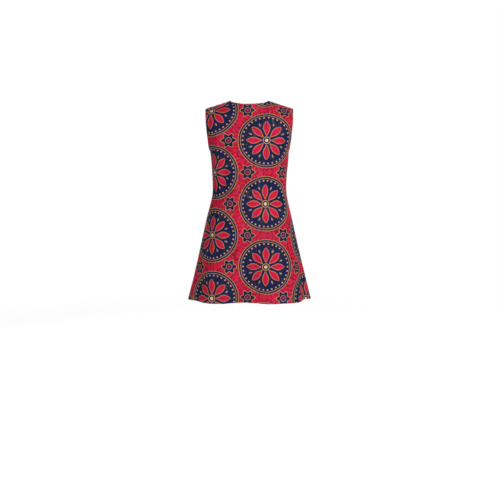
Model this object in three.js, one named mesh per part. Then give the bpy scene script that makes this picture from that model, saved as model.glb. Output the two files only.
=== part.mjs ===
// A sleeveless A-line dress of printed cotton, hollow and open at the neck, the armholes and the hem,
// in the form that it takes when it is worn. It is cut as two pieces, a front and a back, which meet at
// the shoulder seams and the side seams.
// Millimetres. +Z is up, +X is the wearer's left and the front faces -Y. The origin lies midway between
// the shoulder seams, level with their neck ends, where the wearer's shoulders carry the dress.
import * as THREE from 'three';

const clothThickness = 1.6;
const seamGap = 0.3;

// Mesh of one piece: cells across each half, of which the inner ones end on the neckline and the others
// on the shoulder seam, and rows of cells below and above the underarm.
const neckCells = 6;
const shoulderCells = 9;
const bodyRows = 24;
const yokeRows = 14;

// The shoulder seam, from its neck end to its arm end.
const seamNeckEnd = new THREE.Vector3(80, -2, 0);
const seamArmEnd = new THREE.Vector3(187, 4, -34);

// Rings round the body, from the hem up to the underarm. halfWidth reaches from the middle to each side
// seam, frontDepth and backDepth from the plane of the side seams. fullness is 2 for an ellipse and more
// for a squarer ring. sway is how far the ring stands along X.
const levels = [
  { name: 'hem', z: -858, halfWidth: 264, frontDepth: 140, backDepth: 142, fullness: 2.1, sway: 0 },
  { name: 'thigh', z: -735, halfWidth: 237, frontDepth: 132, backDepth: 136, fullness: 2.1, sway: -1 },
  { name: 'hip', z: -600, halfWidth: 207, frontDepth: 122, backDepth: 128, fullness: 2.15, sway: 0 },
  { name: 'high hip', z: -495, halfWidth: 183, frontDepth: 114, backDepth: 112, fullness: 2.2, sway: 0 },
  { name: 'waist', z: -400, halfWidth: 161, frontDepth: 109, backDepth: 93, fullness: 2.3, sway: -1 },
  { name: 'midriff', z: -325, halfWidth: 161, frontDepth: 113, backDepth: 95, fullness: 2.4, sway: -1 },
  { name: 'bust', z: -265, halfWidth: 166, frontDepth: 117, backDepth: 101, fullness: 2.45, sway: -2 },
  { name: 'underarm', z: -215, halfWidth: 170, frontDepth: 113, backDepth: 105, fullness: 2.5, sway: -1 },
];

// Soft upright folds of the skirt. at is degrees round from the left side seam, with the back at 90 and
// the front at 270. rise is how far the fold stands out at the hem, or in where it is negative, spread
// its half-width in degrees, and fades the height at which it dies out.
const folds = [
  { at: 11, rise: 7, spread: 11, fades: -600 },
  { at: 30, rise: -6, spread: 10, fades: -560 },
  { at: 55, rise: 21, spread: 16, fades: -420 },
  { at: 84, rise: -32, spread: 14, fades: -480 },
  { at: 111, rise: 13, spread: 12, fades: -450 },
  { at: 134, rise: 18, spread: 13, fades: -470 },
  { at: 160, rise: -18, spread: 10, fades: -580 },
  { at: 178, rise: 8, spread: 9, fades: -630 },
  { at: 203, rise: -13, spread: 11, fades: -540 },
  { at: 229, rise: 20, spread: 14, fades: -350 },
  { at: 257, rise: -22, spread: 13, fades: -470 },
  { at: 286, rise: 17, spread: 15, fades: -410 },
  { at: 313, rise: -19, spread: 12, fades: -520 },
  { at: 338, rise: 13, spread: 11, fades: -370 },
];

// How the folds deepen from the height where they fade down to the hem: 1 is straight, more is later.
const foldGrowth = 1.5;

// The fullness that each bust dart releases: a soft rise centred at this angle and height.
const cups = [
  { at: 243, z: -262, rise: 9, spread: 22, reach: 62 },
  { at: 297, z: -262, rise: 9, spread: 22, reach: 62 },
];

// What differs between the two pieces. neckDrop and neckDepth place the middle of the neckline below and
// before or behind the seam's neck end, and neckFullness squares its curve. lean is the slope of the
// cloth towards the neck there. scoop is how far the armhole is cut in
// towards the middle, and the back's, below 0, lets the cloth reach out over the shoulder blade.
const pieces = [
  { name: 'back_panel', side: 1, neckDrop: 15, neckDepth: 56, neckFullness: 2, lean: 0.42, scoop: -4 },
  { name: 'front_panel', side: -1, neckDrop: 135, neckDepth: 92, neckFullness: 2.05, lean: 0.3, scoop: 8 },
];

// The yoke, above the underarm. climb is how strongly the columns of cells start upwards, crowding how
// closely they stand there, holeReach how soon they follow the armhole and calmHalf the share of each
// half that doesn't turn towards it. holeRound, shoulderRound and shoulderRise shape the foot of the
// armhole and the top of the shoulder, and holeOut and holeRise the armhole's way into the seam.
const climb = 1.15;
const crowding = 0.62;
const holeReach = 5;
const calmHalf = 0.2;
const holeRound = 1.35;
const shoulderRound = 1.05;
const shoulderRise = 0.12;
const holeOut = 8;
const holeRise = 0.5;

// How often the yoke is smoothed, how far its points move in and back out again each time, and over how
// many rows below the underarm this fades.
const ironings = 24;
const ironIn = 0.5;
const ironOut = -0.53;
const fadeRows = 4;

const heightOf = (name) => levels.find((level) => level.name === name).z;
const hem = heightOf('hem');
const waist = heightOf('waist');
const underarm = heightOf('underarm');
const halfCells = neckCells + shoulderCells;

// Cubic curve from a to b with end slopes p and q, at t from 0 to 1.
function hermite(a, b, p, q, t) {
  const u = t * t * (3 - 2 * t);
  return a * (1 - u) + b * u + t * (1 - t) * (p * (1 - t) - q * t);
}

function smoothstep(low, high, value) {
  return THREE.MathUtils.smoothstep(value, low, high);
}

// A column of the levels as a smooth function of height.
function columnOf(key) {
  const slopes = levels.map((_, i) => {
    const below = levels[Math.max(i - 1, 0)];
    const above = levels[Math.min(i + 1, levels.length - 1)];
    return (above[key] - below[key]) / (above.z - below.z);
  });
  return (z) => {
    const above = levels.findIndex((level, n) => n > 0 && z <= level.z);
    const i = (above < 0 ? levels.length - 1 : above) - 1;
    const span = levels[i + 1].z - levels[i].z;
    return hermite(
      levels[i][key],
      levels[i + 1][key],
      slopes[i] * span,
      slopes[i + 1] * span,
      (z - levels[i].z) / span,
    );
  };
}

const halfWidthAt = columnOf('halfWidth');
const frontDepthAt = columnOf('frontDepth');
const backDepthAt = columnOf('backDepth');
const fullnessAt = columnOf('fullness');
const swayAt = columnOf('sway');

// A bell of height 1 at the angle at, in degrees, that is measured the short way round.
function bell(degrees, at, spread) {
  const apart = THREE.MathUtils.euclideanModulo(degrees - at + 180, 360) - 180;
  return Math.exp(-((apart / spread) ** 2));
}

// How far the folds and cups move the cloth outwards.
function standingOut(degrees, z) {
  let out = 0;
  for (const fold of folds) {
    const down = Math.max((fold.fades - z) / (fold.fades - hem), 0);
    out += fold.rise * down ** foldGrowth * bell(degrees, fold.at, fold.spread);
  }
  for (const cup of cups) {
    out += cup.rise * Math.exp(-(((z - cup.z) / cup.reach) ** 2)) * bell(degrees, cup.at, cup.spread);
  }
  return out;
}

const raised = (value, power) => Math.sign(value) * Math.abs(value) ** power;

// A point of the dress below the underarm: on the ring at height z, turned by this many degrees.
function ringPoint(degrees, z) {
  const turn = THREE.MathUtils.degToRad(degrees);
  const power = 2 / fullnessAt(z);
  const width = halfWidthAt(z);
  const depth = Math.sin(turn) > 0 ? backDepthAt(z) : frontDepthAt(z);
  const outward = new THREE.Vector3(
    raised(Math.cos(turn), 2 - power) / width,
    raised(Math.sin(turn), 2 - power) / depth,
    0,
  ).normalize();
  return new THREE.Vector3(
    swayAt(z) + width * raised(Math.cos(turn), power),
    depth * raised(Math.sin(turn), power),
    z,
  ).addScaledVector(outward, standingOut(degrees, z));
}

// The top edge of a piece, at across from 0 in the middle to 1 at the armhole.
function topPoint(piece, across) {
  const neckShare = neckCells / halfCells;
  if (across >= neckShare) {
    return seamNeckEnd.clone().lerp(seamArmEnd, (across - neckShare) / (1 - neckShare));
  }
  const turn = (across / neckShare) * (Math.PI / 2);
  const power = 2 / piece.neckFullness;
  return new THREE.Vector3(
    seamNeckEnd.x * raised(Math.sin(turn), power),
    seamNeckEnd.y + piece.side * piece.neckDepth * raised(Math.cos(turn), power),
    -piece.neckDrop * raised(Math.cos(turn), power),
  );
}

// The angle of a column of cells on the ring at height z. Towards the underarm the columns crowd round
// to the middle of the piece, which leaves room for the foot of the armhole.
function columnAngle(piece, across, z) {
  const crowded = THREE.MathUtils.lerp(1, crowding, smoothstep(waist, underarm, z));
  return piece.side * 90 * (1 - across) ** crowded;
}

// A point of a piece above the underarm, on the curve that one column of cells follows from the
// underarm ring to the top edge. up runs from 0 to 1. A column in the middle leaves the ring upwards,
// one at the armhole leaves it sideways, and each comes over the shoulder from behind or before it.
function yokePoint(piece, across, left, up) {
  const small = 0.5;
  const degrees = columnAngle(piece, across, underarm);
  const start = ringPoint(degrees, underarm);
  const rising = start.clone().sub(ringPoint(degrees, underarm - small)).divideScalar(small);
  const sideways = ringPoint(degrees + piece.side * small, underarm).sub(start).normalize();
  const end = topPoint(piece, across);
  const length = start.distanceTo(end);
  const atHole = across ** holeReach;
  const onTop = across * halfCells > neckCells ? 1 : 1 + end.z / piece.neckDrop;
  const leaving = rising
    .multiplyScalar(length * climb * (1 - atHole))
    .addScaledVector(sideways, length * holeRound * smoothstep(calmHalf, 1, across));
  const arriving = new THREE.Vector3(
    holeOut * atHole,
    -piece.side * length * THREE.MathUtils.lerp(piece.lean, shoulderRound, onTop),
    length * THREE.MathUtils.lerp(1, THREE.MathUtils.lerp(shoulderRise, holeRise, atHole), onTop),
  );
  const point = new THREE.Vector3(
    hermite(start.x, end.x, leaving.x, arriving.x, up) - piece.scoop * atHole * 4 * up * (1 - up),
    hermite(start.y, end.y, leaving.y, arriving.y, up),
    hermite(start.z, end.z, leaving.z, arriving.z, up),
  );
  return left ? point : point.setX(-point.x);
}

// A point of a piece's outer face, from across -1 at the right edge to 1 at the left one, and row 0 at
// the hem to the last one at the top edge.
function facePoint(piece, across, row) {
  if (row > bodyRows) {
    return yokePoint(piece, Math.abs(across), across > 0, (row - bodyRows) / yokeRows);
  }
  const z = THREE.MathUtils.lerp(hem, underarm, row / bodyRows);
  const degrees = columnAngle(piece, Math.abs(across), z);
  return ringPoint(across > 0 ? degrees : piece.side * 180 - degrees, z);
}

// Smooths the cloth above the bust where the columns turn into the neckline and the armhole. Each point
// moves towards the mean of its four neighbours and then back out again, so that creases go and the size
// stays. The edges of the piece don't move.
function iron(points, width, rows) {
  for (let pass = 0; pass < ironings; pass++) {
    const before = points.map((point) => point.clone());
    for (let row = 1; row < rows; row++) {
      const share = smoothstep(bodyRows - fadeRows, bodyRows, row) * (pass % 2 ? ironOut : ironIn);
      for (let column = 1; column < width - 1; column++) {
        const i = row * width + column;
        const mean = [i - 1, i + 1, i - width, i + width]
          .reduce((sum, n) => sum.add(before[n]), new THREE.Vector3())
          .divideScalar(4);
        points[i].lerp(mean, share);
      }
    }
  }
}

// The outward direction of the cloth at a point of the grid. On a seam it lies in the seam's plane, so
// that the two pieces' edges face each other squarely.
function outwardAt(points, width, rows, row, column, side, onSeam) {
  const at = (r, c) =>
    points[THREE.MathUtils.clamp(r, 0, rows) * width + THREE.MathUtils.clamp(c, 0, width - 1)];
  const along = at(row, column + 1).clone().sub(at(row, column - 1));
  const upwards = at(row + 1, column).clone().sub(at(row - 1, column));
  const normal = upwards.cross(along).multiplyScalar(side);
  return (onSeam ? normal.setY(0) : normal).normalize();
}

// One piece as a closed wall: its outer face, its inner face and the cut edge all round.
function panelGeometry(piece) {
  const columns = 2 * halfCells;
  const rows = bodyRows + yokeRows;
  const width = columns + 1;
  const outer = [];
  for (let row = 0; row <= rows; row++) {
    for (let column = 0; column <= columns; column++) {
      outer.push(facePoint(piece, (column - halfCells) / halfCells, row));
    }
  }
  iron(outer, width, rows);
  const inner = outer.map((point, i) => {
    const row = Math.floor(i / width);
    const column = i % width;
    const onSideSeam = row <= bodyRows && (column === 0 || column === columns);
    const onShoulderSeam = row === rows && Math.abs(column - halfCells) >= neckCells;
    const outward = outwardAt(outer, width, rows, row, column, piece.side, onSideSeam || onShoulderSeam);
    return point.clone().addScaledVector(outward, -clothThickness);
  });
  const faces = [];
  const quad = (a, b, c, d) => faces.push(a, b, c, a, c, d);
  const innerStart = outer.length;
  for (let row = 0; row < rows; row++) {
    for (let column = 0; column < columns; column++) {
      const a = row * width + column;
      quad(a, a + width, a + width + 1, a + 1);
      quad(innerStart + a, innerStart + a + 1, innerStart + a + width + 1, innerStart + a + width);
    }
  }
  const edge = (a, b) => quad(a, b, innerStart + b, innerStart + a);
  for (let column = 0; column < columns; column++) {
    edge(column, column + 1);
    edge(rows * width + column + 1, rows * width + column);
  }
  for (let row = 0; row < rows; row++) {
    edge((row + 1) * width, row * width);
    edge(row * width + columns, (row + 1) * width + columns);
  }
  if (piece.side < 0) faces.reverse();
  const geometry = new THREE.BufferGeometry().setFromPoints([...outer, ...inner]);
  geometry.setIndex(faces);
  geometry.computeVertexNormals();
  return geometry;
}

const printedCotton = new THREE.MeshStandardMaterial({ color: '#8d1f3c', roughness: 0.72, metalness: 0 });

const dress = new THREE.Group();
for (const piece of pieces) {
  const panel = new THREE.Mesh(panelGeometry(piece), printedCotton.clone());
  panel.name = piece.name;
  panel.position.y = (piece.side * seamGap) / 2;
  dress.add(panel);
}

export default dress;
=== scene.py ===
import math

import bpy
import numpy as np
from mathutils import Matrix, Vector


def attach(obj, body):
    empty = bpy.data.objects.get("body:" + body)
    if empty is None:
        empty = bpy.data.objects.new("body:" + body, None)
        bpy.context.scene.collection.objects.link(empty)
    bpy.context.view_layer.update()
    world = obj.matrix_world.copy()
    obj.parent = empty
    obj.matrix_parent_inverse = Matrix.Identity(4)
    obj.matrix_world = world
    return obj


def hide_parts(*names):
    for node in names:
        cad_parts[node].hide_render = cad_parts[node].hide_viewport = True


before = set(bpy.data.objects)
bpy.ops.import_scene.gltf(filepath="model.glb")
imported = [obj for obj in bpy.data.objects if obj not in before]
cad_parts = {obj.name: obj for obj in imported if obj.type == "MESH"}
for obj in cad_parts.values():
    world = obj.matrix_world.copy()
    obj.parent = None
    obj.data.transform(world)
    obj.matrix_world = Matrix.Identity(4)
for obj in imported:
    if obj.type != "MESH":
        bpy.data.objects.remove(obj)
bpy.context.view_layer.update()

scene = bpy.context.scene


# ---- camera, at eye height behind the dress

camera = dict(
    distance=4.0,        # metres from the middle of the view
    across=2.185,        # metres that the view takes in, at the dress
    middle=(-0.003, 0.0, -0.645),
    tilt=7.5,            # degrees that it looks down
)


# A camera at the distance along the tilt; its lens is the sensor times the distance over what it takes in.
def makeCamera(look):
    tilt = math.radians(look["tilt"])
    backwards = Vector((0, math.cos(tilt), math.sin(tilt)))
    lens = bpy.data.cameras.new("camera")
    lens.sensor_width = 36
    lens.lens = lens.sensor_width * look["distance"] / look["across"]
    stand = bpy.data.objects.new("camera", lens)
    scene.collection.objects.link(stand)
    stand.location = Vector(look["middle"]) + backwards * look["distance"]
    stand.rotation_euler = backwards.to_track_quat("Z", "Y").to_euler()
    scene.camera = stand


makeCamera(camera)
scene.view_settings.view_transform = "Standard"
print("camera set")


# ---- the cut of the dress, in millimetres, with the front towards -Y and the wearer's left at +X

dress = dict(
    thickness=1.0,               # of the cloth as it shows
    seamGap=0.3,                 # between the two pieces
    neckEnd=(80, -2, 0),         # of the shoulder seam
    armEnd=(187, 4, -34),
    neckCells=6,                 # of each half, from the middle to the shoulder seam
    shoulderCells=9,
    bodyRows=24,
    yokeRows=14,
    finer=6,                     # cells in the finished cloth for each of these
    foldGrowth=1.5,              # 1 makes folds grow evenly towards the hem, more makes them grow late
    crowding=0.62,               # under 1 draws the columns towards the armholes
    climb=1.15,                  # how far the columns run upwards from the underarm before they turn
    calmHalf=0.2,                # share of a half in which they don't turn sideways
    holeReach=5,                 # more keeps the armhole's pull to its nearest columns
    holeRound=1.35,              # how far it is rounded out at its foot
    holeOut=8,
    holeRise=0.5,
    shoulderRound=1.05,          # how far the cloth comes level over the shoulder seam
    shoulderRise=0.12,
    ironings=24,                 # passes that smooth the yoke
    ironIn=0.5,
    ironOut=-0.53,
    fadeRows=4,                  # rows below the yoke over which the smoothing fades
    pressing=2,                  # how the yoke is pressed flat before its lengths are put right
    pressedDepth=0.35,
    springTurns=6000,            # passes that put the lengths right
    springShare=0.11,            # of each wrong length that a pass takes back
)

levelColumns = ("z", "halfWidth", "frontDepth", "backDepth", "fullness", "sway")
levels = [
    (-858, 264, 140, 142, 2.10, 0),    # hem
    (-735, 237, 132, 136, 2.10, -1),   # thigh
    (-600, 207, 122, 128, 2.15, 0),    # hip
    (-495, 183, 114, 112, 2.20, 0),    # high hip
    (-400, 161, 109, 93, 2.30, -1),    # waist
    (-325, 161, 113, 95, 2.40, -1),    # midriff
    (-265, 166, 117, 101, 2.45, -2),   # bust
    (-215, 170, 113, 105, 2.50, -1),   # underarm
]
hemZ, waistZ, underarmZ = levels[0][0], levels[4][0], levels[-1][0]

foldColumns = ("at", "rise", "spread", "fades")    # degrees from the left side seam, mm, degrees, height
folds = [
    (11, 7, 11, -600),
    (30, -6, 10, -560),
    (55, 21, 16, -420),
    (84, -32, 14, -480),
    (111, 13, 12, -450),
    (134, 18, 13, -470),
    (160, -18, 10, -580),
    (178, 8, 9, -630),
    (203, -13, 11, -540),
    (229, 20, 14, -350),
    (257, -22, 13, -470),
    (286, 17, 15, -410),
    (313, -19, 12, -520),
    (338, 13, 11, -370),
]

cupColumns = ("at", "z", "rise", "spread", "reach")    # room for the bust
cups = [
    (243, -262, 9, 22, 62),
    (297, -262, 9, 22, 62),
]

# neckDrop and neckDepth are of the neckline's middle below and behind the shoulders' neck ends, lean is how
# level the cloth meets the neckline, and scoop is how far the armhole is cut in
backPiece = dict(side=1, neckDrop=15, neckDepth=56, neckFullness=2, lean=0.42, scoop=-4)
frontPiece = dict(side=-1, neckDrop=135, neckDepth=92, neckFullness=2.05, lean=0.3, scoop=8)


# Each row of a table as a dictionary by its columns' names.
def rowsOf(columns, table):
    return [dict(zip(columns, row)) for row in table]


# 0 below low and 1 above high, along 3 t squared less 2 t cubed between them.
def smoothstep(low, high, value):
    t = np.clip((value - low) / (high - low), 0, 1)
    return t * t * (3 - 2 * t)


# The straight blend from a to b.
def lerp(a, b, t):
    return a + (b - a) * t


# Vectors over their own lengths.
def unit(vectors):
    return vectors / np.maximum(np.linalg.norm(vectors, axis=-1, keepdims=True), 1e-12)


# A power of the size of a value, with the value's sign.
def raised(value, power):
    return np.sign(value) * np.abs(value) ** power


# Cubic from a to b with end slopes p and q: the smooth blend of a and b, plus each slope times its bump.
def hermite(a, b, p, q, t):
    blend = t * t * (3 - 2 * t)
    return a * (1 - blend) + b * blend + t * (1 - t) * (p * (1 - t) - q * t)


# One column of the level table as a smooth function of height, each level's slope being its neighbours'.
def levelValue(key, z):
    table = np.array(levels, float)
    heights, values = table[:, 0], table[:, levelColumns.index(key)]
    last = len(levels) - 1
    below, above = np.maximum(np.arange(last + 1) - 1, 0), np.minimum(np.arange(last + 1) + 1, last)
    slopes = (values[above] - values[below]) / (heights[above] - heights[below])
    i = np.minimum(np.searchsorted(heights[1:], z), last - 1)
    span = heights[i + 1] - heights[i]
    return hermite(values[i], values[i + 1], slopes[i] * span, slopes[i + 1] * span, (z - heights[i]) / span)


# A bell of height 1 round the angle at, measured the short way round.
def bell(degrees, at, spread):
    apart = np.mod(degrees - at + 180, 360) - 180
    return np.exp(-((apart / spread) ** 2))


# How far folds and cups push the cloth out: each fold is a bell round the ring that grows from the height
# where it fades to the hem, and each cup a bell both round the ring and in height.
def standingOut(degrees, z):
    out = np.zeros(np.broadcast(degrees, z).shape)
    for f in rowsOf(foldColumns, folds):
        down = np.maximum((f["fades"] - z) / (f["fades"] - hemZ), 0) ** dress["foldGrowth"]
        out += f["rise"] * down * bell(degrees, f["at"], f["spread"])
    for c in rowsOf(cupColumns, cups):
        out += c["rise"] * np.exp(-(((z - c["z"]) / c["reach"]) ** 2)) * bell(degrees, c["at"], c["spread"])
    return out


# Points below the underarm: a superellipse at height z, pushed along its own outward normal.
def ringPoints(degrees, z):
    degrees, z = np.broadcast_arrays(np.asarray(degrees, float), np.asarray(z, float))
    turn = np.radians(degrees)
    power = 2 / levelValue("fullness", z)
    width = levelValue("halfWidth", z)
    depth = np.where(np.sin(turn) > 0, levelValue("backDepth", z), levelValue("frontDepth", z))
    flat = np.zeros_like(z)
    outward = unit(np.stack([
        raised(np.cos(turn), 2 - power) / width,
        raised(np.sin(turn), 2 - power) / depth,
        flat,
    ], -1))
    ring = np.stack([
        levelValue("sway", z) + width * raised(np.cos(turn), power),
        depth * raised(np.sin(turn), power),
        z,
    ], -1)
    return ring + outward * standingOut(degrees, z)[..., None]


# The top edge: a quarter of a superellipse for the neckline, then a straight shoulder seam.
def topPoints(piece, across):
    neckEnd, armEnd = np.array(dress["neckEnd"], float), np.array(dress["armEnd"], float)
    share = dress["neckCells"] / (dress["neckCells"] + dress["shoulderCells"])
    turn = np.clip(across / share, 0, 1) * math.pi / 2
    power = 2 / piece["neckFullness"]
    fall = raised(np.cos(turn), power) * (across < share)
    neck = np.stack([
        neckEnd[0] * raised(np.sin(turn), power),
        neckEnd[1] + piece["side"] * piece["neckDepth"] * fall,
        -piece["neckDrop"] * fall,
    ], -1)
    seam = lerp(neckEnd, armEnd, np.clip((across - share) / (1 - share), 0, 1)[..., None])
    return np.where((across >= share)[..., None], seam, neck)


# The angle of a column round the ring: 90 degrees at the middle, falling to 0 at the side seam as a power
# of what is left of across, which crowds the columns towards the armholes higher up.
def columnAngle(piece, across, z):
    crowded = lerp(1, dress["crowding"], smoothstep(waistZ, underarmZ, z))
    return piece["side"] * 90 * (1 - across) ** crowded


# Points above the underarm: each column is one cubic from the ring to the top edge. It leaves the ring
# upwards in the middle and sideways at the armhole, and comes over the shoulder from its own side.
def yokePoints(piece, across, up):
    step = 0.5
    across, up = np.broadcast_arrays(across, up)
    degrees = columnAngle(piece, across, underarmZ)
    start = ringPoints(degrees, underarmZ)
    rising = (start - ringPoints(degrees, underarmZ - step)) / step
    sideways = unit(ringPoints(degrees + piece["side"] * step, underarmZ) - start)
    end = topPoints(piece, across)
    length = np.linalg.norm(end - start, axis=-1)[..., None]
    atHole = (across ** dress["holeReach"])[..., None]
    share = dress["neckCells"] / (dress["neckCells"] + dress["shoulderCells"])
    onTop = np.where(across > share, 1, 1 + end[..., 2] / piece["neckDrop"])[..., None]
    turning = smoothstep(dress["calmHalf"], 1, across)[..., None]
    leaving = rising * length * dress["climb"] * (1 - atHole)
    leaving = leaving + sideways * length * dress["holeRound"] * turning
    rise = lerp(1, lerp(dress["shoulderRise"], dress["holeRise"], atHole), onTop)
    arriving = np.concatenate([
        dress["holeOut"] * atHole,
        -piece["side"] * length * lerp(piece["lean"], dress["shoulderRound"], onTop),
        length * rise,
    ], -1)
    points = hermite(start, end, leaving, arriving, up[..., None])
    points[..., 0] -= piece["scoop"] * atHole[..., 0] * 4 * up * (1 - up)
    return points


# A point for each across from -1 to 1 and each row: rings up to the underarm, then the yoke.
def facePoints(piece, across, row):
    across, row = np.broadcast_arrays(across, row)
    body = dress["bodyRows"]
    z = lerp(hemZ, underarmZ, np.minimum(row / body, 1))
    degrees = columnAngle(piece, np.abs(across), z)
    ring = ringPoints(np.where(across > 0, degrees, piece["side"] * 180 - degrees), z)
    up = np.clip((row - body) / dress["yokeRows"], 0, 1)
    yoke = yokePoints(piece, np.abs(across), up)
    yoke[..., 0] *= np.where(across > 0, 1, -1)
    return np.where((row > body)[..., None], yoke, ring)


# Smooths the yoke: each inner point moves towards the mean of its four neighbours and back out again.
def iron(grid):
    rows = np.arange(1, grid.shape[0] - 1)
    body = dress["bodyRows"]
    share = smoothstep(body - dress["fadeRows"], body, rows)[:, None, None]
    for turn in range(dress["ironings"]):
        mean = (grid[1:-1, :-2] + grid[1:-1, 2:] + grid[:-2, 1:-1] + grid[2:, 1:-1]) / 4
        move = dress["ironOut"] if turn % 2 else dress["ironIn"]
        grid[1:-1, 1:-1] += (mean - grid[1:-1, 1:-1]) * share * move
    return grid


# Cuts each cell of a grid into finer ones along one axis, on smooth curves through the old points.
def refine(grid, places, axis):
    grid = np.moveaxis(grid, axis, 0)
    grid = np.concatenate([2 * grid[:1] - grid[1:2], grid, 2 * grid[-1:] - grid[-2:-1]])
    i = np.minimum(places.astype(int), len(grid) - 4)
    t = (places - i).reshape(-1, *[1] * (grid.ndim - 1))
    a, b, c, d = grid[i], grid[i + 1], grid[i + 2], grid[i + 3]
    fine = hermite(b, c, (c - a) / 2, (d - b) / 2, t)
    return np.moveaxis(fine, 0, axis)


# Places of the finer rows or columns in cell units, closer together in the first and the last cell.
def finePlaces(cells):
    even = np.arange(dress["finer"] * (cells - 2) + 1) / dress["finer"] + 1
    close = np.array([0, 0.04, 0.1, 0.2, 0.34, 0.5, 0.67, 0.84])
    return np.concatenate([close, even, (cells - close)[::-1]])


# Moves an edge of the grid onto its exact place, and what is within one cell of it by a falling share.
def fitEdge(grid, exact, distance, axis, end):
    grid = np.moveaxis(grid, axis, 0)
    share = np.clip(1 - distance, 0, 1).reshape(-1, *[1] * (grid.ndim - 1))
    grid += (exact - grid[end]) * share
    return np.moveaxis(grid, 0, axis)


# The flat cut of a piece: the skirt's rows unrolled and the yoke pressed flat, then every edge and diagonal
# of the cells brought to its length on the dress, by moving both ends a little in each of many passes.
def flattened(grid, side):
    columns = grid.shape[1]
    middle, body = columns // 2, dress["bodyRows"]
    alongRow = np.linalg.norm(np.diff(grid[:body + 1], axis=1), axis=-1)
    u = np.concatenate([np.zeros((body + 1, 1)), np.cumsum(alongRow, 1)], 1)
    u -= u[:, middle:middle + 1]
    upColumn = np.linalg.norm(np.diff(grid[:body + 1], axis=0), axis=-1)
    v = np.concatenate([np.zeros((1, columns)), np.cumsum(upColumn, 0)])
    v += underarmZ - v[-1]
    ring, yoke = grid[body], grid[body + 1:]
    up = np.linspace(0, 1, len(yoke) + 1)[1:, None]
    yokeU = yoke[..., 0] + (u[-1] - ring[:, 0]) * (1 - up) ** dress["pressing"]
    yokeV = yoke[..., 2] - dress["pressedDepth"] * side * (yoke[..., 1] - ring[:, 1])
    flat = np.stack([np.concatenate([u, yokeU]), np.concatenate([v, yokeV])], -1)
    every, first, last = slice(None), slice(None, -1), slice(1, None)
    ends = [
        ((every, first), (every, last)),
        ((first, every), (last, every)),
        ((first, first), (last, last)),
        ((first, last), (last, first)),
    ]
    lengths = [np.linalg.norm(grid[b] - grid[a], axis=-1) for a, b in ends]
    for _ in range(dress["springTurns"]):
        move = np.zeros_like(flat)
        for (a, b), length in zip(ends, lengths):
            apart = flat[b] - flat[a]
            now = np.linalg.norm(apart, axis=-1)
            pull = apart * ((now - length) / np.maximum(now, 1e-9))[..., None]
            move[a] += pull
            move[b] -= pull
        flat += move * dress["springShare"]
    flat -= flat[body, middle]
    lean = flat[-1, middle] - flat[0, middle]
    turn = math.atan2(lean[0], lean[1])
    c, s = math.cos(turn), math.sin(turn)
    flat = flat @ np.array([[c, s], [-s, c]])
    flat[..., 1] += underarmZ
    return flat


# ---- the finished surface of one piece

# Outward directions: the cross product of the grid's two tangents.
def outwardNormals(grid, side):
    upwards, along = np.gradient(grid, axis=0), np.gradient(grid, axis=1)
    return unit(np.cross(upwards, along) * side)


# The coarse grid of a piece is smoothed and laid flat, then both are made finer, and the edges of the piece
# are moved onto their exact curves.
def buildSurface(piece):
    neck, shoulder = dress["neckCells"], dress["shoulderCells"]
    half, body = neck + shoulder, dress["bodyRows"]
    rows = body + dress["yokeRows"]
    coarseAcross, coarseRows = np.linspace(-1, 1, 2 * half + 1), np.arange(rows + 1.0)
    coarse = iron(facePoints(piece, coarseAcross[None, :], coarseRows[:, None]))
    flat = flattened(coarse, piece["side"])
    rowAt, columnAt = finePlaces(rows), finePlaces(2 * half)
    grid = refine(refine(coarse, rowAt, 0), columnAt, 1)
    flat = refine(refine(flat, rowAt, 0), columnAt, 1)
    across = (columnAt - half) / half
    for end, sign in ((0, -1), (-1, 1)):
        edge = facePoints(piece, sign * np.ones(len(rowAt)), rowAt)
        grid = fitEdge(grid, edge, np.abs(columnAt - columnAt[end]), 1, end)
    top = topPoints(piece, np.abs(across))
    top[:, 0] *= np.sign(across)
    grid = fitEdge(grid, top, rows - rowAt, 0, -1)
    grid = fitEdge(grid, facePoints(piece, across, 0), rowAt, 0, 0)
    tiny = 1e-6
    return dict(
        piece=piece, grid=grid, flat=flat,
        onNeck=np.abs(columnAt - half) <= neck + tiny,
        onHole=rowAt >= body - tiny,
        onSide=rowAt <= body + tiny,
    )


back = buildSurface(backPiece)
front = buildSurface(frontPiece)
print("cut and laid out: back", back["grid"].shape[:2], "front", front["grid"].shape[:2])


# ---- creases and edges, on the flat cut of each piece in millimetres

creaseColumns = ("fromU", "fromV", "toU", "toV", "rise", "width", "bend")

backCreases = [
    (98, -140, 116, -480, -3.6, 16, 6),         # from the left shoulder blade
    (64, -110, 74, -440, 3.0, 17, -4),
    (30, -205, 22, -575, -3.0, 15, 5),
    (-16, -170, -32, -520, 2.4, 19, -5),
    (-74, -135, -92, -500, -3.6, 16, -7),       # from the right shoulder blade
    (-114, -190, -132, -460, 2.8, 13, 4),
    (162, -232, 104, -300, -2.4, 9, 5),         # under the left armhole
    (158, -252, 122, -350, 1.9, 8, 3),
    (-160, -236, -98, -286, -2.6, 9, -5),       # under the right armhole
    (-154, -262, -116, -352, 2.0, 8, -3),
    (-126, -370, -28, -394, -1.9, 9, 5),        # small of the back
    (38, -388, 134, -364, -2.2, 8, -6),
    (-62, -418, 48, -409, 1.5, 10, 4),
    (150, -128, 66, -58, -1.6, 9, 4),           # across the shoulders
    (-148, -118, -74, -62, -1.8, 8, -4),
    (44, -510, 62, -990, 3.4, 14, 5),           # running out through the hem
    (-20, -560, -30, -1010, -3.2, 13, -4),
    (-92, -540, -128, -990, 3.4, 13, 6),
    (132, -585, 176, -1000, -3.0, 13, -5),
    (92, -610, 118, -1020, 2.6, 10, 3),
    (-162, -620, -204, -1000, -2.8, 12, 4),
]

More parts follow.
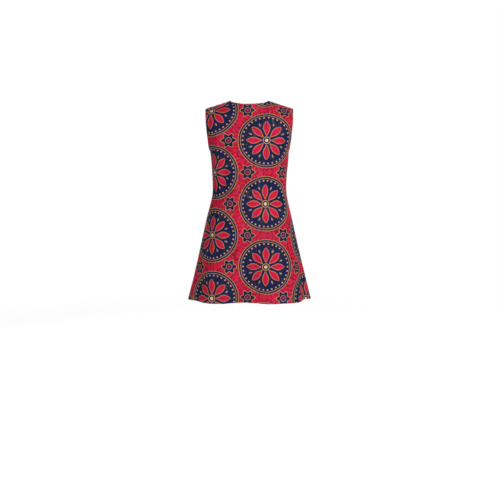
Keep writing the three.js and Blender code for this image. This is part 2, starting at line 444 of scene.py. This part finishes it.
frontCreases = [
    (88, -300, 98, -620, -3.4, 15, 5),          # hanging from the bust
    (52, -310, 58, -560, 2.8, 16, -4),
    (4, -240, -6, -600, -2.6, 16, 5),
    (-50, -305, -64, -590, 2.6, 15, 5),
    (-90, -295, -104, -640, -3.6, 15, -6),
    (-128, -330, -142, -560, 2.4, 12, 3),
    (128, -340, 146, -590, 2.2, 12, -3),
    (88, -262, 146, -150, -2.0, 9, -6),         # from the bust to the armholes
    (-90, -262, -142, -140, -2.2, 9, 5),
    (60, -210, 92, -110, 1.6, 11, 4),
    (-58, -215, -96, -120, 1.6, 11, -5),
    (-46, -172, 44, -176, -1.5, 9, -5),         # between the bust points
    (100, -262, 166, -300, -2.0, 8, 3),         # below the darts
    (-98, -266, -164, -310, -1.8, 8, -3),
    (-110, -385, -22, -402, -1.6, 9, 4),        # waist
    (30, -398, 118, -378, -1.8, 9, -4),
    (40, -520, 52, -1000, 3.0, 14, -5),         # running out through the hem
    (-30, -570, -42, -1010, -3.2, 13, 4),
    (110, -560, 140, -980, -2.8, 12, 5),
    (-112, -550, -142, -1000, 3.2, 13, -5),
    (170, -610, 206, -1010, 2.4, 11, 3),
    (-168, -600, -206, -990, -2.6, 12, -4),
]

darts = [((168, -286), (106, -264)), ((-168, -286), (-106, -264))]    # bust darts of the front

finish = dict(
    creaseRise=1.35,          # share of the rises above
    creaseFade=1.4,           # more makes creases rise later from their ends
    seamCalm=34,              # creases start this far from a seam
    waves=26,                 # of the slight unevenness all over
    waveRise=0.16,
    waveLengths=(38, 130),
    seamRoll=0.7,             # how far the cloth turns in along a seam, and over what width
    seamRollWidth=2.4,
    pucker=0.34,              # ripples beside a seam
    puckerPitch=15,
    puckerWidth=9,
    puckerSlant=0.8,          # makes them run along the shoulder seams too
    puckerDrift=(1.7, 5.3),   # how far and how slowly their pitch wanders
    hemRipple=0.5,
    hemRipplePitch=19,
    hemRippleDrift=(2.1, 4.7),
    hemDepth=20,              # turned up at the hem
    edgeDepth=7,              # turned in at the neck and the armholes
    turnedExtra=0.6,          # added thickness of a turned edge
    rimRound=0.35,
    dartDip=1.1,
    dartWidth=5,
)


# How far creases lift the cloth: each is a line on the flat cut, bowed sideways by its bend, that rises
# as a bell across its width and as a rounded half sine along its length.
def creased(flat, table):
    out = np.zeros(flat.shape[:2])
    for c in rowsOf(creaseColumns, table):
        start = np.array([c["fromU"], c["fromV"]], float)
        along = np.array([c["toU"], c["toV"]], float) - start
        span = np.linalg.norm(along)
        along /= span
        t = (flat - start) @ along / span
        aside = (flat - start) @ np.array([-along[1], along[0]]) - c["bend"] * 4 * t * (1 - t)
        fade = np.sin(math.pi * np.clip(t, 0, 1)) ** finish["creaseFade"]
        out += finish["creaseRise"] * c["rise"] * fade * np.exp(-((aside / c["width"]) ** 2))
    return out


# Slight unevenness all over: a sum of cosine waves of seeded lengths, directions and phases.
def uneven(flat, seed):
    draw = np.random.default_rng(seed)
    count = finish["waves"]
    pitch = draw.uniform(*finish["waveLengths"], count)
    turn = draw.uniform(0, math.pi, count)
    phase = draw.uniform(0, 2 * math.pi, count)
    ways = np.stack([np.cos(turn), np.sin(turn)]) * 2 * math.pi / pitch
    return (np.cos(flat @ ways + phase) * finish["waveRise"] * (pitch / 100) ** 0.5).sum(-1)


# Distance of every point of the flat cut from the points of one of its edges.
def distanceTo(flat, edge):
    gap = flat.reshape(-1, 1, 2).astype(np.float32) - edge.reshape(1, -1, 2).astype(np.float32)
    return np.sqrt((gap ** 2).sum(-1).min(1)).reshape(flat.shape[:2])


# Distance of every point from a straight line between two others.
def distanceFromLine(flat, start, end):
    along = np.subtract(end, start)
    t = np.clip(((flat - start) @ along) / (along @ along), 0, 1)
    return np.linalg.norm(flat - start - t[..., None] * along, axis=-1)


# How far every point of the flat cut is from the hem, the neck, the armholes, the seams and the darts.
def measureEdges(surface):
    flat, onHole, onNeck, onSide = (surface[key] for key in ("flat", "onHole", "onNeck", "onSide"))
    seams = np.concatenate([flat[onSide, 0], flat[onSide, -1], flat[-1, ~onNeck]])
    return dict(
        fromHem=distanceTo(flat, flat[0]),
        fromNeck=distanceTo(flat, flat[-1, onNeck]),
        fromHole=distanceTo(flat, np.concatenate([flat[onHole, 0], flat[onHole, -1]])),
        fromSeam=distanceTo(flat, seams),
        fromDart=np.min([distanceFromLine(flat, a, b) for a, b in darts], 0),
    )


# A sine wave along a distance, whose phase drifts forwards and back in a slower sine wave.
def wandering(distance, pitch, drift):
    phase = distance * 2 * math.pi / pitch
    far, slowness = drift
    return np.sin(phase + far * np.sin(phase / slowness))


# Moves the cloth out and in along its own direction: creases and unevenness away from the seams, a turned
# in line and small ripples along each seam, ripples along the hem, and a dip along each dart.
def finishCloth(surface, edges, look):
    grid, flat = surface["grid"], surface["flat"]
    calm = smoothstep(0, finish["seamCalm"], edges["fromSeam"])
    move = (creased(flat, look["creases"]) + uneven(flat, look["seed"])) * calm
    move -= finish["seamRoll"] * np.exp(-((edges["fromSeam"] / finish["seamRollWidth"]) ** 2))
    slanted = grid[..., 2] + finish["puckerSlant"] * grid[..., 0]
    beside = np.exp(-((edges["fromSeam"] / finish["puckerWidth"]) ** 2))
    move += finish["pucker"] * beside * wandering(slanted, finish["puckerPitch"], finish["puckerDrift"])
    low = np.exp(-((edges["fromHem"] / finish["hemDepth"]) ** 2)) * calm
    rippled = wandering(flat[..., 0], finish["hemRipplePitch"], finish["hemRippleDrift"])
    move += finish["hemRipple"] * low * rippled
    if look["darts"]:
        move -= finish["dartDip"] * np.exp(-((edges["fromDart"] / finish["dartWidth"]) ** 2)) * calm
    normals = seamNormals(surface, grid)
    return grid + normals * move[..., None]


# True at the points of the side and shoulder seams.
def seamPoints(surface):
    onSeam = np.zeros(surface["grid"].shape[:2], bool)
    onSeam[:, [0, -1]] = surface["onSide"][:, None]
    onSeam[-1] |= ~surface["onNeck"]
    return onSeam


# The outward direction at each point, level with the seam's plane on the seams themselves.
def seamNormals(surface, grid):
    normals = outwardNormals(grid, surface["piece"]["side"])
    normals[seamPoints(surface), 1] = 0
    return unit(normals)


# ---- meshes: an outer face, an inner face and a rounded rim between them

backLook = dict(
    name="back_cloth",
    layout=(-0.070, 0.105),     # metres, where a roundel of the print falls on the flat cut
    creases=backCreases,
    seed=11,
    darts=False,
)
frontLook = dict(
    name="front_cloth",
    layout=(0.035, -0.020),
    creases=frontCreases,
    seed=23,
    darts=True,
)


# A mesh from points in millimetres and faces of four.
def meshFrom(name, points, faces):
    mesh = bpy.data.meshes.new(name)
    mesh.vertices.add(len(points))
    mesh.vertices.foreach_set("co", (points / 1000).ravel())
    mesh.loops.add(faces.size)
    mesh.loops.foreach_set("vertex_index", faces.ravel())
    mesh.polygons.add(len(faces))
    mesh.polygons.foreach_set("loop_start", np.arange(0, faces.size, faces.shape[1]))
    mesh.update(calc_edges=True)
    mesh.validate()
    mesh.polygons.foreach_set("use_smooth", np.ones(len(mesh.polygons), bool))
    obj = bpy.data.objects.new(name, mesh)
    scene.collection.objects.link(obj)
    return obj


# A strip of faces between two closed loops of points with the same count.
def strip(one, two):
    return np.stack([one, np.roll(one, -1), np.roll(two, -1), two], -1)


# The finished shell: the inner face is the outer one less its normals times the thickness, and the rim bulges
# out between them except on the seams.
def buildCloth(surface, look):
    side = surface["piece"]["side"]
    edges = measureEdges(surface)
    grid = finishCloth(surface, edges, look) + [0, side * dress["seamGap"] / 2, 0]
    normals = seamNormals(surface, grid)
    rows, columns = grid.shape[:2]
    turned = np.maximum(
        1 - smoothstep(finish["hemDepth"] - 2, finish["hemDepth"] + 1, edges["fromHem"]),
        1 - smoothstep(finish["edgeDepth"] - 1, finish["edgeDepth"] + 1.5,
                       np.minimum(edges["fromNeck"], edges["fromHole"])),
    )
    thickness = dress["thickness"] + finish["turnedExtra"] * turned
    inner = grid - normals * thickness[..., None]
    count = rows * columns
    index = np.arange(count).reshape(rows, columns)
    rim = np.concatenate([index[0, :-1], index[:-1, -1], index[-1, :0:-1], index[:0:-1, 0]])
    outside, inside = grid.reshape(-1, 3)[rim], inner.reshape(-1, 3)[rim]
    lengthwise = unit(np.roll(outside, -1, 0) - np.roll(outside, 1, 0))
    beyond = unit(np.cross(lengthwise, outside - inside)) * side
    free = ~seamPoints(surface)
    bulge = thickness.ravel()[rim] * finish["rimRound"] * free.ravel()[rim]
    middle = (outside + inside) / 2 + beyond * bulge[:, None]
    points = np.concatenate([grid.reshape(-1, 3), inner.reshape(-1, 3), middle])
    a, b, c, d = index[:-1, :-1], index[1:, :-1], index[1:, 1:], index[:-1, 1:]
    ring = 2 * count + np.arange(len(rim))
    faces = np.concatenate([
        np.stack([a, b, c, d], -1).reshape(-1, 4),
        np.stack([a, d, c, b], -1).reshape(-1, 4) + count,
        strip(rim, ring),
        strip(ring, rim + count),
    ])
    if side < 0:
        faces = faces[:, ::-1]
    obj = meshFrom(look["name"], points, np.ascontiguousarray(faces))
    mesh = obj.data

    # what the material reads at each point: place on the flat cut, distances from the edges, which face
    def spread(values):
        flatValues = values.reshape(count, -1)
        return np.concatenate([flatValues, flatValues, flatValues[rim]])

    order = np.zeros(len(mesh.loops), int)
    mesh.loops.foreach_get("vertex_index", order)
    uv = mesh.uv_layers.new(name="flat_cut")
    cut = spread(surface["flat"] / 1000) - look["layout"]
    uv.data.foreach_set("uv", cut[order].ravel())
    read = ("fromHem", "fromNeck", "fromHole", "fromSeam")
    perPoint = {name: spread(edges[name]) for name in read}
    perPoint["inside"] = np.repeat([0.0, 1.0, 0.5], [count, count, len(rim)])
    for name, values in perPoint.items():
        attribute = mesh.attributes.new(name, "FLOAT", "POINT")
        attribute.data.foreach_set("value", values.astype(np.float32).ravel())
    return obj, grid, normals


backCloth, backGrid, backNormals = buildCloth(back, backLook)
frontCloth, frontGrid, frontNormals = buildCloth(front, frontLook)
print("cloth built:", [(o.name, len(o.data.polygons) * 2) for o in (backCloth, frontCloth)])


# ---- stitches of the turned edges

sewing = dict(
    pitch=3.0,
    long=2.3,
    thick=0.26,
    hem=18.0,          # from the edge to the line of stitches
    edge=6.0,
    proud=0.05,
    ringPlaces=(-0.5, -0.3, 0.3, 0.5),    # of each stitch's four rings, in its length
    ringSizes=(0.35, 1, 1, 0.35),
    dip=-0.25,         # of its two ends
    reach=0.5,         # ahead and behind, between which it takes its direction
)


# The line at an even distance from an edge: on each grid line that leaves the edge, the point where the
# length along it reaches the inset. Lines are given from the edge inwards.
def insetLine(lines, inset):
    step = np.linalg.norm(np.diff(lines[..., :3], axis=1), axis=-1)
    s = np.concatenate([np.zeros((len(lines), 1)), np.cumsum(step, 1)], 1)
    i = np.clip((s < inset).sum(1) - 1, 0, s.shape[1] - 2)
    n = np.arange(len(lines))
    t = ((inset - s[n, i]) / (s[n, i + 1] - s[n, i]))[:, None]
    return lerp(lines[n, i], lines[n, i + 1], t)


# Stitches along a line of points with directions: each is four square rings along the line, small at its
# two ends, where it dips into the cloth.
def stitchesAlong(line):
    step = np.linalg.norm(np.diff(line[:, :3], axis=0), axis=-1)
    s = np.concatenate([[0], np.cumsum(step)])
    middles = np.arange(sewing["pitch"], s[-1] - sewing["pitch"] / 2, sewing["pitch"])

    def at(places):
        return np.stack([np.interp(places, s, line[:, k]) for k in range(6)], -1)

    here = at(middles)
    ahead, behind = at(middles + sewing["reach"])[:, :3], at(middles - sewing["reach"])[:, :3]
    forward = unit(ahead - behind)
    up = unit(here[:, 3:])
    sideways = unit(np.cross(up, forward))
    along = np.array(sewing["ringPlaces"]) * sewing["long"]
    size = np.array(sewing["ringSizes"]) * sewing["thick"]
    lift = np.array([sewing["dip"], sewing["proud"], sewing["proud"], sewing["dip"]])
    corners = np.array([(1, 0), (0, 1), (-1, 0), (0, -1)])
    points = (
        here[:, None, None, :3]
        + forward[:, None, None] * along[None, :, None, None]
        + sideways[:, None, None] * (size[:, None] * corners[:, 0])[None, :, :, None]
        + up[:, None, None] * (size[:, None] * corners[:, 1] + lift[:, None])[None, :, :, None]
    )
    return points.reshape(-1, 3)


# Faces of so many stitches: three strips between a stitch's four rings, and its two ends.
def stitchFaces(count):
    ring = np.arange(16).reshape(4, 4)
    sides = [strip(ring[k + 1], ring[k]) for k in range(3)]
    one = np.concatenate([*sides, ring[:1], ring[3:, ::-1]])
    return (one[None] + 16 * np.arange(count)[:, None, None]).reshape(-1, 4)


# Stitches along the lines inset from the hem, the neck and the two armholes.
def buildStitches(name, surface, grid, normals):
    both = np.concatenate([grid, normals], -1)
    upwards = both.transpose(1, 0, 2)
    holeRows = both[surface["onHole"]]
    lines = [
        insetLine(upwards, sewing["hem"]),
        insetLine(upwards[surface["onNeck"]][:, ::-1], sewing["edge"]),
        insetLine(holeRows, sewing["edge"]),
        insetLine(holeRows[:, ::-1], sewing["edge"]),
    ]
    points = np.concatenate([stitchesAlong(line) for line in lines])
    return meshFrom(name, points, stitchFaces(len(points) // 16))


backStitches = buildStitches("back_stitches", back, backGrid, backNormals)
frontStitches = buildStitches("front_stitches", front, frontGrid, frontNormals)
print("sewn:", [(o.name, len(o.data.polygons) * 2) for o in (backStitches, frontStitches)])


# ---- the printed cotton, drawn on the flat cut in millimetres

cotton = dict(
    across=234.0,            # from one column of roundels to the next
    down=270.0,              # from one roundel to the next in a column
    roundel=115.0,           # radius
    rim=2.6,                 # gold line round it
    innerLine=(8.0, 1.2),    # gold line within it: how far in, and half its width
    beads=34,
    beadsIn=17.0,
    bead=(3.6, 1.7),         # radii of its gold and its cream
    petals=8,
    petalFrom=19.0,          # from the roundel's middle
    petalTo=82.0,
    petalHalf=12.5,
    petalRim=2.0,
    petalVein=(1.0, 3.0),    # half its width, and how far inside the petal it stays
    drops=(71.0, 0.45, 3.0),     # between the petals: how far out, how long drawn, and radius
    heart=(16.0, 12.5, 7.0),     # radii of its gold, navy and cream
    rays=46,
    rayLength=27.0,          # beyond the roundel, where they end in a point
    rayHalf=2.8,
    star=(28.0, 25.0),       # radii of the small stars' gold and navy
    starLobes=(6, 5.5),
    starLine=(12.0, 1.1, 5.0),   # gold ring and its half width, and the crimson middle
    veins=(13, 0.11),        # of the ground: how many to a cloud of noise, and how wide
    cracks=0.15,             # strength of the fine pale lines
    insidePaler=0.10,
    cloudiness=0.34,
    shine=0.16,
    roughness=0.68,
    crimson=(0.54, 0.006, 0.040),
    maroon=(0.13, 0.004, 0.022),
    navy=(0.004, 0.009, 0.050),
    gold=(0.42, 0.21, 0.080),
    cream=(0.66, 0.42, 0.30),
    wobble=2.2,              # of the drawn lines
    edge=0.9,                # how softly the dye ends
    threads=0.9,             # from one thread to the next but one
)


# A number on the surface: adding or multiplying these adds Math nodes to the material.
class Number:
    def __init__(self, tree, socket):
        self.tree = tree
        self.socket = socket

    def then(self, operation, *others, clamp=False):
        node = self.tree.nodes.new("ShaderNodeMath")
        node.operation = operation
        node.use_clamp = clamp
        for slot, value in zip(node.inputs, (self, *others)):
            if isinstance(value, Number):
                self.tree.links.new(value.socket, slot)
            else:
                slot.default_value = value
        return Number(self.tree, node.outputs[0])

    def __add__(self, other):
        return self.then("ADD", other)

    def __sub__(self, other):
        return self.then("SUBTRACT", other)

    def __mul__(self, other):
        return self.then("MULTIPLY", other)

    def __neg__(self):
        return self.then("MULTIPLY", -1)

    def under(self, limit, soft):
        return ((self - limit) * (-1 / soft)).then("ADD", 0.5, clamp=True)

    def wrapped(self, half):
        return self.then("WRAP", half, -half)

    def size(self):
        return self.then("ABSOLUTE")


# The root of the sum of two squares.
def length(x, y):
    return (x * x + y * y).then("SQRT")


# One output of a texture node, with settings given by the names of its inputs or of its own.
def textureNumber(tree, kind, vector, output, **settings):
    node = tree.nodes.new(kind)
    for key, value in settings.items():
        if key in node.inputs:
            node.inputs[key].default_value = value
        else:
            setattr(node, key, value)
    tree.links.new(vector, node.inputs["Vector"])
    return Number(tree, node.outputs[output])


# A number that the mesh holds at each of its points.
def surfaceNumber(tree, name):
    node = tree.nodes.new("ShaderNodeAttribute")
    node.attribute_name = name
    return Number(tree, node.outputs["Fac"])


# Lays colour over colour where the mask is 1.
def layOver(tree, below, colour, mask):
    node = tree.nodes.new("ShaderNodeMix")
    node.data_type = "RGBA"
    tree.links.new(mask.socket, node.inputs["Factor"])
    for slot, value in ((node.inputs["A"], below), (node.inputs["B"], colour)):
        if isinstance(value, tuple):
            slot.default_value = (*value, 1)
        else:
            tree.links.new(value, slot)
    return node.outputs["Result"]


# The print: navy roundels in a half drop on crimson, each with petals, beads and a gold line, small
# six-lobed stars between them, and maroon veins in the ground.
def printedCotton(name):
    material = bpy.data.materials.new(name)
    material.use_nodes = True
    tree = material.node_tree
    shader = tree.nodes["Principled BSDF"]
    flatCut = tree.nodes.new("ShaderNodeUVMap")
    flatCut.uv_map = "flat_cut"
    place = flatCut.outputs["UV"]
    split = tree.nodes.new("ShaderNodeSeparateXYZ")
    tree.links.new(place, split.inputs["Vector"])
    soft, edge = cotton["wobble"], cotton["edge"]
    shakeU = textureNumber(tree, "ShaderNodeTexNoise", place, "Fac", Scale=15.0, Detail=1.0) - 0.5
    shakeV = textureNumber(tree, "ShaderNodeTexNoise", place, "Fac", Scale=17.0, Detail=1.0) - 0.5
    u = Number(tree, split.outputs["X"]) * 1000 + shakeU * soft * 2
    v = Number(tree, split.outputs["Y"]) * 1000 + shakeV * soft * 2

    # the nearer roundel of the two in each repeat
    halfWide, halfDeep = cotton["across"], cotton["down"] / 2
    firstX, firstY = u.wrapped(halfWide), v.wrapped(halfDeep)
    otherX, otherY = (u - halfWide).wrapped(halfWide), (v - halfDeep).wrapped(halfDeep)
    isFirst = length(firstX, firstY).then("LESS_THAN", length(otherX, otherY))
    x = otherX + (firstX - otherX) * isFirst
    y = otherY + (firstY - otherY) * isFirst
    far = length(x, y)
    turn = y.then("ARCTAN2", x)

    # how far along the circle it is to the nearest of so many equal places, in millimetres
    def aside(count, start=0.0):
        pitch = 2 * math.pi / count
        return (turn + start).wrapped(pitch / 2).size() * far

    radius = cotton["roundel"]
    colour = cotton["crimson"]
    often, thin = cotton["veins"]
    veins = textureNumber(tree, "ShaderNodeTexNoise", place, "Fac", Scale=9.0, Detail=1.5, Distortion=0.6)
    lines = (veins * often).wrapped(0.5).size().under(thin, 0.05)
    colour = layOver(tree, colour, cotton["maroon"], lines * 0.8)
    tapered = (far - radius) * (-cotton["rayHalf"] / cotton["rayLength"]) + cotton["rayHalf"]
    rays = (aside(cotton["rays"]) - tapered).under(0.0, edge)
    colour = layOver(tree, colour, cotton["maroon"], rays)
    colour = layOver(tree, colour, cotton["gold"], far.under(radius + cotton["rim"], edge))
    colour = layOver(tree, colour, cotton["navy"], far.under(radius, edge))

    # inside the roundel
    lineIn, lineHalf = cotton["innerLine"]
    line = (far - (radius - lineIn)).size().under(lineHalf, edge)
    colour = layOver(tree, colour, cotton["gold"], line)
    bead = length(aside(cotton["beads"]), far - (radius - cotton["beadsIn"]))
    for dye, beadRadius in zip(("gold", "cream"), cotton["bead"]):
        colour = layOver(tree, colour, cotton[dye], bead.under(beadRadius, edge))
    petalFrom, petalTo = cotton["petalFrom"], cotton["petalTo"]
    along = ((far - petalFrom) * (1 / (petalTo - petalFrom))).then("ADD", 0, clamp=True)
    wide = (along.then("POWER", 1.25) * math.pi).then("SINE") * cotton["petalHalf"]
    petal = aside(cotton["petals"]) - wide
    onPetals = along.then("GREATER_THAN", 0.001) * far.then("LESS_THAN", petalTo)
    colour = layOver(tree, colour, cotton["gold"], petal.under(cotton["petalRim"], edge) * onPetals)
    colour = layOver(tree, colour, cotton["crimson"], petal.under(0.0, edge) * onPetals)
    veinHalf, veinInset = cotton["petalVein"]
    vein = aside(cotton["petals"]).under(veinHalf, edge) * petal.under(-veinInset, edge)
    colour = layOver(tree, colour, cotton["maroon"], vein)
    dropOut, dropDrawn, dropRadius = cotton["drops"]
    drop = length(aside(cotton["petals"], math.pi / cotton["petals"]), (far - dropOut) * dropDrawn)
    colour = layOver(tree, colour, cotton["gold"], drop.under(dropRadius, edge))
    for dye, heartRadius in zip(("gold", "navy", "cream"), cotton["heart"]):
        colour = layOver(tree, colour, cotton[dye], far.under(heartRadius, edge))

    # the stars between, in the middle of each three roundels
    foldedX, foldedY = u.wrapped(halfWide).size(), v.wrapped(halfDeep).size()
    lobeCount, lobeRise = cotton["starLobes"]
    ringRadius, ringHalf, middleRadius = cotton["starLine"]
    for centreX, centreY in ((halfWide / 3, halfDeep), (2 * halfWide / 3, 0.0)):
        sideX, sideY = foldedX - centreX, foldedY - centreY
        away = length(sideX, sideY)
        lobes = away - (sideY.then("ARCTAN2", sideX) * lobeCount).then("COSINE") * lobeRise
        for dye, starRadius in zip(("gold", "navy"), cotton["star"]):
            colour = layOver(tree, colour, cotton[dye], lobes.under(starRadius, edge))
        colour = layOver(tree, colour, cotton["gold"], (away - ringRadius).size().under(ringHalf, edge))
        colour = layOver(tree, colour, cotton["crimson"], away.under(middleRadius, edge))

    # the wax resist: fine cracks, a paler inside, and cloudy dye
    cracks = textureNumber(
        tree, "ShaderNodeTexVoronoi", place, "Distance", feature="DISTANCE_TO_EDGE", Scale=46.0)
    patches = textureNumber(tree, "ShaderNodeTexNoise", place, "Fac", Scale=13.0, Detail=3.0)
    cracked = cracks.under(0.016, 0.020) * patches.under(0.46, 0.10)
    colour = layOver(tree, colour, cotton["cream"], cracked * cotton["cracks"])
    colour = layOver(tree, colour, cotton["cream"], surfaceNumber(tree, "inside") * cotton["insidePaler"])
    cloudy = tree.nodes.new("ShaderNodeHueSaturation")
    clouds = textureNumber(tree, "ShaderNodeTexNoise", place, "Fac", Scale=7.0, Detail=4.0)
    brightness = clouds * cotton["cloudiness"] + (1 - cotton["cloudiness"] / 2)
    tree.links.new(brightness.socket, cloudy.inputs["Value"])
    tree.links.new(colour, cloudy.inputs["Color"])
    tree.links.new(cloudy.outputs["Color"], shader.inputs["Base Color"])

    # the weave, with thicker threads here and there, steps at turned edges, and dents at stitches and seams
    perThread = 2 * math.pi / cotton["threads"]
    weave = (u * perThread).then("SINE") * (v * perThread).then("SINE")
    stretched = tree.nodes.new("ShaderNodeMapping")
    stretched.inputs["Scale"].default_value = (60, 900, 1)
    tree.links.new(place, stretched.inputs["Vector"])
    thready = stretched.outputs["Vector"]
    slubs = textureNumber(tree, "ShaderNodeTexNoise", thready, "Fac", Scale=1.0, Detail=2.0)
    rumple = textureNumber(tree, "ShaderNodeTexNoise", place, "Fac", Scale=55.0, Detail=3.0)
    fromEdge = surfaceNumber(tree, "fromNeck").then("MINIMUM", surfaceNumber(tree, "fromHole"))
    fromHem, fromSeam = surfaceNumber(tree, "fromHem"), surfaceNumber(tree, "fromSeam")
    step = fromEdge.under(finish["edgeDepth"], 1.2) + fromHem.under(finish["hemDepth"], 1.6)
    dents = (fromEdge - sewing["edge"]).size().under(0.7, 0.9)
    dents = dents + (fromHem - sewing["hem"]).size().under(0.7, 0.9)
    seamLine = fromSeam.under(1.0, 1.4)
    height = weave * 0.05 + slubs * 0.10 + rumple * 0.55 + step * 0.30 - dents * 0.35 - seamLine * 0.6
    bump = tree.nodes.new("ShaderNodeBump")
    bump.inputs["Distance"].default_value = 0.001
    bump.inputs["Strength"].default_value = 0.8
    tree.links.new(height.socket, bump.inputs["Height"])
    tree.links.new(bump.outputs["Normal"], shader.inputs["Normal"])
    tree.links.new((slubs * 0.16 + cotton["roughness"]).socket, shader.inputs["Roughness"])
    shader.inputs["Specular IOR Level"].default_value = cotton["shine"]
    return material


# Matt crimson thread that varies a little along its length.
def sewingThread(name):
    material = bpy.data.materials.new(name)
    material.use_nodes = True
    tree = material.node_tree
    shader = tree.nodes["Principled BSDF"]
    place = tree.nodes.new("ShaderNodeTexCoord").outputs["Object"]
    twist = textureNumber(tree, "ShaderNodeTexNoise", place, "Fac", Scale=900.0, Detail=2.0)
    colour = layOver(tree, (0.10, 0.012, 0.030), (0.19, 0.030, 0.055), twist)
    tree.links.new(colour, shader.inputs["Base Color"])
    shader.inputs["Roughness"].default_value = 0.7
    return material


cloth = printedCotton("printed_cotton")
thread = sewingThread("sewing_thread")
for obj in (backCloth, frontCloth):
    obj.data.materials.append(cloth)
for obj in (backStitches, frontStitches):
    obj.data.materials.append(thread)
print("printed")


# ---- floor and light

studio = dict(
    floorZ=-1.54,          # the wearer's feet
    floorRadius=4.0,
    clearWithin=1.0,       # the floor fades out from here to its edge
    grey=0.9,
    world=0.25,
    floorGlow=0.32,
    aim=(0, 0, -0.5),      # where the lights point
)

lightColumns = ("name", "place", "size", "watts")
lights = [
    ("key", (-1.35, 2.4, 0.9), 0.9, 74),
    ("fill", (2.4, 3.2, 0.2), 2.2, 22),
    ("front_key", (1.35, -2.4, 0.9), 0.9, 70),
    ("front_fill", (-2.4, -3.2, 0.2), 2.2, 26),
]


# A pale round floor that fades out towards its edge.
def makeFloor(look):
    turns = np.linspace(0, 2 * math.pi, 97)[:-1]
    ring = np.stack([np.cos(turns), np.sin(turns), turns * 0], -1) * look["floorRadius"]
    ring[:, 2] = look["floorZ"]
    mesh = bpy.data.meshes.new("floor")
    mesh.from_pydata(ring.tolist(), [], [list(range(len(ring)))])
    floor = bpy.data.objects.new("floor", mesh)
    scene.collection.objects.link(floor)
    material = bpy.data.materials.new("floor_paint")
    material.use_nodes = True
    shader = material.node_tree.nodes["Principled BSDF"]
    shader.inputs["Base Color"].default_value = (look["grey"],) * 3 + (1,)
    shader.inputs["Roughness"].default_value = 0.9
    shader.inputs["Emission Color"].default_value = (1, 1, 1, 1)
    shader.inputs["Emission Strength"].default_value = look["floorGlow"]
    tree = material.node_tree
    place = tree.nodes.new("ShaderNodeTexCoord")
    split = tree.nodes.new("ShaderNodeSeparateXYZ")
    tree.links.new(place.outputs["Object"], split.inputs["Vector"])
    away = length(Number(tree, split.outputs["X"]), Number(tree, split.outputs["Y"]))
    fade = tree.nodes.new("ShaderNodeMapRange")
    fade.interpolation_type = "SMOOTHSTEP"
    tree.links.new(away.socket, fade.inputs["Value"])
    fade.inputs["From Min"].default_value = look["clearWithin"]
    fade.inputs["From Max"].default_value = look["floorRadius"]
    fade.inputs["To Min"].default_value = 1
    fade.inputs["To Max"].default_value = 0
    tree.links.new(fade.outputs["Result"], shader.inputs["Alpha"])
    mesh.materials.append(material)


# A soft round lamp that points at the dress.
def makeLight(name, place, size, watts):
    lamp = bpy.data.lights.new(name, "AREA")
    lamp.shape = "DISK"
    lamp.size = size
    lamp.energy = watts
    obj = bpy.data.objects.new(name, lamp)
    scene.collection.objects.link(obj)
    obj.location = place
    obj.rotation_euler = (obj.location - Vector(studio["aim"])).to_track_quat("Z", "Y").to_euler()


# Even light from all round, which the camera sees as white.
def makeWorld(strength):
    world = bpy.data.worlds.new("studio")
    world.use_nodes = True
    tree = world.node_tree
    lighting = tree.nodes["Background"]
    lighting.inputs["Color"].default_value = (1, 1, 1, 1)
    lighting.inputs["Strength"].default_value = strength
    seen = tree.nodes.new("ShaderNodeBackground")
    seen.inputs["Color"].default_value = (1, 1, 1, 1)
    path = tree.nodes.new("ShaderNodeLightPath")
    mix = tree.nodes.new("ShaderNodeMixShader")
    tree.links.new(path.outputs["Is Camera Ray"], mix.inputs["Fac"])
    tree.links.new(lighting.outputs["Background"], mix.inputs[1])
    tree.links.new(seen.outputs["Background"], mix.inputs[2])
    tree.links.new(mix.outputs["Shader"], tree.nodes["World Output"].inputs["Surface"])
    scene.world = world


makeFloor(studio)
makeWorld(studio["world"])
for light in rowsOf(lightColumns, lights):
    makeLight(**light)
print("lit")


# ---- what stands for what

# Hides the piece's part from model.glb, hangs the piece on the root body, and prints the size and area of its
# flat cut: each cell's area is half the cross product of its diagonals.
def declare(obj, surface, node):
    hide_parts(node)
    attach(obj, "root")
    flat = surface["flat"] / 1000
    low, high = flat.min((0, 1)), flat.max((0, 1))
    a, b, c, d = flat[:-1, :-1], flat[1:, :-1], flat[1:, 1:], flat[:-1, 1:]
    one, two = c - a, d - b
    area = np.abs(one[..., 0] * two[..., 1] - one[..., 1] * two[..., 0]).sum() / 2
    size = (high - low).tolist()
    print("flat", obj.name, [round(x, 3) for x in size], round(float(area), 4))


for stitches in (backStitches, frontStitches):
    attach(stitches, "root")
declare(backCloth, back, "back_panel")
declare(frontCloth, front, "front_panel")
